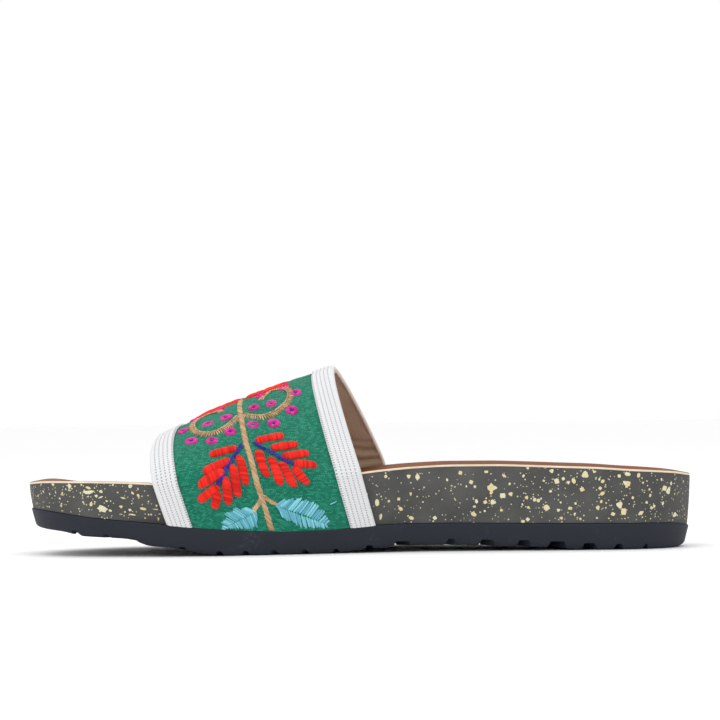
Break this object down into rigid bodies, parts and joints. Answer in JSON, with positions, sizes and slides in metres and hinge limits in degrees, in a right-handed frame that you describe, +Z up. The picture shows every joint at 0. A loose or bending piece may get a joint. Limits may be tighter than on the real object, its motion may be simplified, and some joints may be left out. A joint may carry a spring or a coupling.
{
  "type": "slide slipper",
  "caption": "Open slide slipper for the right foot: contoured footbed on a lugged outsole, one wide fabric strap with woven tapes along its edges.",
  "frame": {"origin": "on the floor, under the middle of the slipper's bounding box", "axes": "+X from the toe to the heel, +Y from the big-toe side to the little-toe side, +Z up"},
  "size_m": [0.252, 0.1012, 0.0707],
  "materials": {
    "outsole_rubber": "matt, moulded",
    "midsole_wrap": "matt wrap with pale speckles",
    "insole_leather": "smooth, with a pale cut edge",
    "strap_fabric": "coarse weave",
    "strap_lining": "suede-like, creased",
    "edge_tape": "woven cotton",
    "thread_red": "wool yarn",
    "thread_pink": "wool yarn",
    "thread_tan": "wool yarn",
    "thread_violet": "cotton yarn",
    "thread_blue": "cotton yarn"
  },
  "bodies": {
    "root": {"outsole": "outsole_rubber", "midsole": "midsole_wrap", "insole": "insole_leather", "upper": "strap_fabric", "trim_front": "edge_tape", "trim_rear": "edge_tape"}
  },
  "joints": []
}
